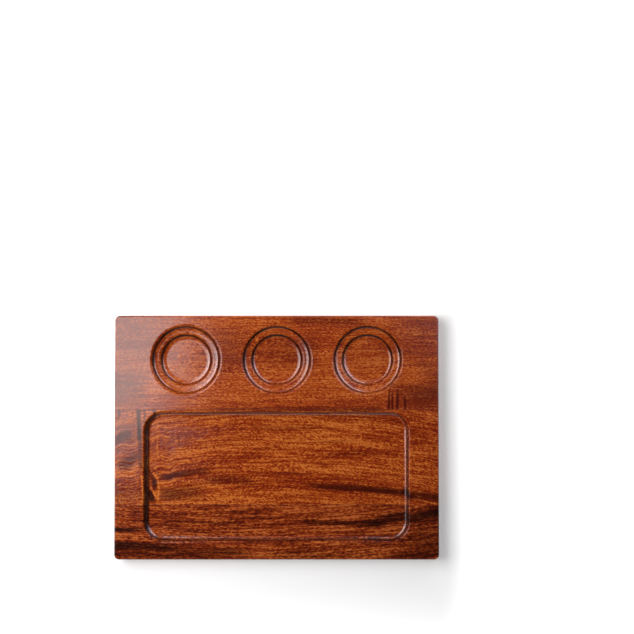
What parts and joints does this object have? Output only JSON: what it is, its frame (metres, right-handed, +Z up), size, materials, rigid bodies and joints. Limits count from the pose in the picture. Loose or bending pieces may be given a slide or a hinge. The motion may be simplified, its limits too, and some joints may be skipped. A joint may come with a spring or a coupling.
{
  "type": "deli serving board",
  "caption": "Reversible wooden serving board of edge-glued staves, with stepped round wells for sauce pots behind a coved tray, and one large coved tray in the reverse.",
  "frame": {"origin": "middle of the underside, on the surface that the board lies on", "axes": "+X along the grain, to the right as the picture shows the serving face; +Y towards the edge with the wells; +Z up out of the serving face"},
  "size_m": [0.397, 0.298, 0.02],
  "materials": {
    "back_wood": "red-brown acacia stave, sanded and clear lacquered to a satin gloss",
    "middle_wood": "figured red-brown acacia stave with ribbon stripe, sanded and clear lacquered to a satin gloss",
    "front_wood": "dark red-brown acacia stave with dark streaks, sanded and clear lacquered to a satin gloss",
    "glue": "cured wood glue, a hard dark line flush with the wood"
  },
  "bodies": {
    "root": {"front_stave": "front_wood", "front_glue_line": "glue", "middle_stave": "middle_wood", "back_glue_line": "glue", "back_stave": "back_wood"}
  },
  "joints": []
}
